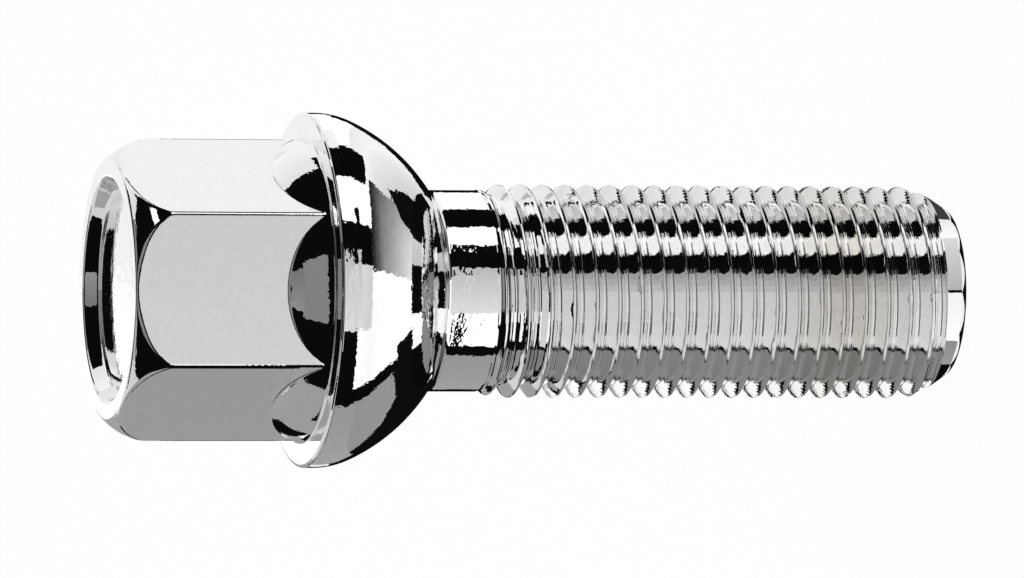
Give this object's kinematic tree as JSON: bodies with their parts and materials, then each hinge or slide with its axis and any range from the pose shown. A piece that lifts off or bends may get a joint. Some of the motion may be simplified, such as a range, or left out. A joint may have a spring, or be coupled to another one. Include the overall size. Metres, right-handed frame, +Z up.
{
  "type": "lug bolt",
  "caption": "One-piece bright plated wheel bolt: crowned hexagon head with a shallow dished end, ball-seat collar, plain neck and long threaded shank with a cone tip.",
  "frame": {"origin": "centre of the flat face at the threaded tip, on which the bolt stands", "axes": "+Z up the bolt's axis from the tip to the head; one flat of the hexagon faces -Y"},
  "size_m": [0.0228, 0.0228, 0.0559],
  "materials": {
    "plating": "bright nickel-chrome plate on forged steel, mirror-like with a slight forged ripple"
  },
  "bodies": {
    "root": {"lug_bolt": "plating"}
  },
  "joints": []
}
